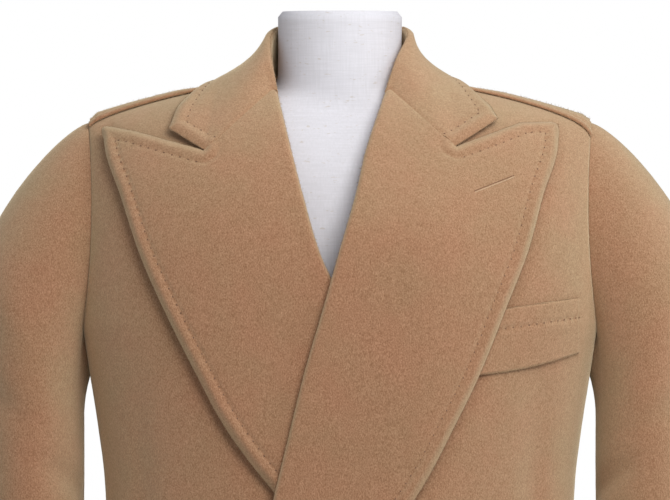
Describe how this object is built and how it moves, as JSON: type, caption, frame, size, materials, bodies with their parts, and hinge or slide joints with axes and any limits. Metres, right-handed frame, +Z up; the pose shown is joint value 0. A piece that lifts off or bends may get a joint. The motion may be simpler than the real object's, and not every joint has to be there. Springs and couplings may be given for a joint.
{
  "type": "double-breasted camel coat on a limbless dress form",
  "caption": "Knee-length double-breasted wool coat with wide peak lapels, turned-down collar, shoulder straps and a breast welt, standing open at hem and cuffs on a limbless dress form.",
  "frame": {"origin": "on the floor, at the centre of the stand's base", "axes": "+Z up, the coat faces -Y, +X is the wearer's left"},
  "size_m": [0.644, 0.4, 1.449],
  "materials": {
    "camel_wool": "brushed camel wool with a short nap",
    "linen": "off-white slubbed linen, stretched",
    "horn": "polished brown horn",
    "steel": "satin"
  },
  "bodies": {
    "root": {"back": "camel_wool", "front_left": "camel_wool", "front_right": "camel_wool", "sleeve_left": "camel_wool", "sleeve_right": "camel_wool", "collar": "camel_wool", "lapel_left": "camel_wool", "lapel_right": "camel_wool", "epaulette_left": "camel_wool", "epaulette_right": "camel_wool", "breast_welt": "camel_wool", "button_upper_left": "horn", "button_upper_right": "horn", "button_lower_left": "horn", "button_lower_right": "horn", "form_body": "linen", "form_pole": "steel", "form_base": "steel"}
  },
  "joints": []
}
